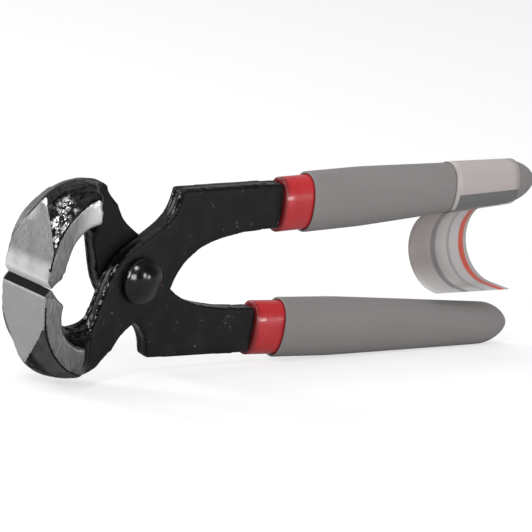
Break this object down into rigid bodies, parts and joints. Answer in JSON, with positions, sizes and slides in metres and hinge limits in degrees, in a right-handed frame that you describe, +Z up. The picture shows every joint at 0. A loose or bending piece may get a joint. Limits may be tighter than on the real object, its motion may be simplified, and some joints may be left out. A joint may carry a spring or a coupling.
{
  "type": "end cutting nippers",
  "caption": "End cutting nippers: two crossed forged levers on a domed rivet, wide ground jaws with edges across the end, dipped two-layer handles and a film hang label.",
  "frame": {"origin": "middle of the tool's box, on the surface that its lower handle stands on", "axes": "+X from the jaws to the handle ends, +Z up from the lower to the upper handle, the rivet's domed head faces -Y"},
  "size_m": [0.2, 0.0224, 0.0618],
  "materials": {
    "lacquered_steel": "black lacquer over forged steel, jaws ground bright",
    "rivet_steel": "glossy black",
    "red_dip": "glossy red dipped vinyl",
    "grey_dip": "matte grey dipped vinyl",
    "label_film": "clear film with a white panel"
  },
  "bodies": {
    "back_half": {"back_lever": "lacquered_steel", "rivet": "rivet_steel", "lower_sleeve": "red_dip", "lower_grip": "grey_dip"},
    "front_half": {"front_lever": "lacquered_steel", "upper_sleeve": "red_dip", "upper_grip": "grey_dip", "hang_label": "label_film"}
  },
  "joints": [
    {"name": "jaw_pivot", "type": "hinge", "parent": "back_half", "child": "front_half", "pos_m": [-0.06305, -0.00092, 0.03064], "axis": [0, -1, 0], "range_deg": [0, 45]}
  ]
}
